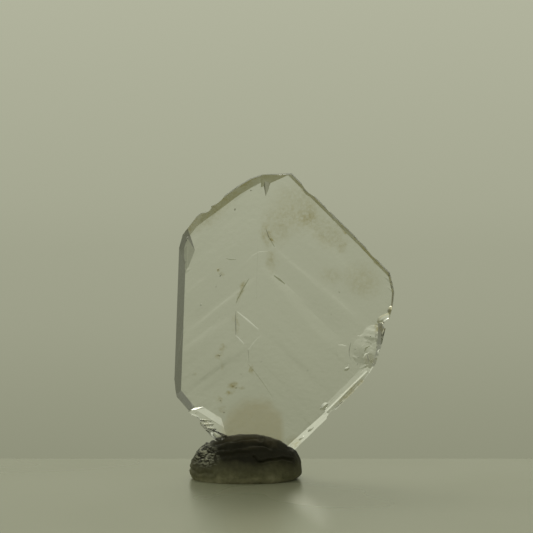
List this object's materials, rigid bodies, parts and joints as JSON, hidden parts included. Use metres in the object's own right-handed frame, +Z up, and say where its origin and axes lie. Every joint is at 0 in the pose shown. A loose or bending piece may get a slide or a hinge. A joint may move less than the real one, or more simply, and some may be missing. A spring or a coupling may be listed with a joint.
{
  "type": "japan law twin quartz",
  "caption": "Clear tabular quartz twin of the Japan law, heart-like plate with bevelled edges and a broken corner, standing in dark mounting putty.",
  "frame": {"origin": "on the surface that the putty rests on, below the middle of the part's bounding box", "axes": "+Z up along the height of the twin, +X across the flat plate to the right seen from the front, -Y the front face of the plate"},
  "size_m": [0.0253, 0.0095, 0.0351],
  "materials": {
    "quartz": "clear, natural crystal faces with fine growth lines",
    "putty": "kneaded, dull with a few shiny wrinkles"
  },
  "bodies": {
    "root": {"twin_crystal": "quartz", "mounting_putty": "putty"}
  },
  "joints": []
}
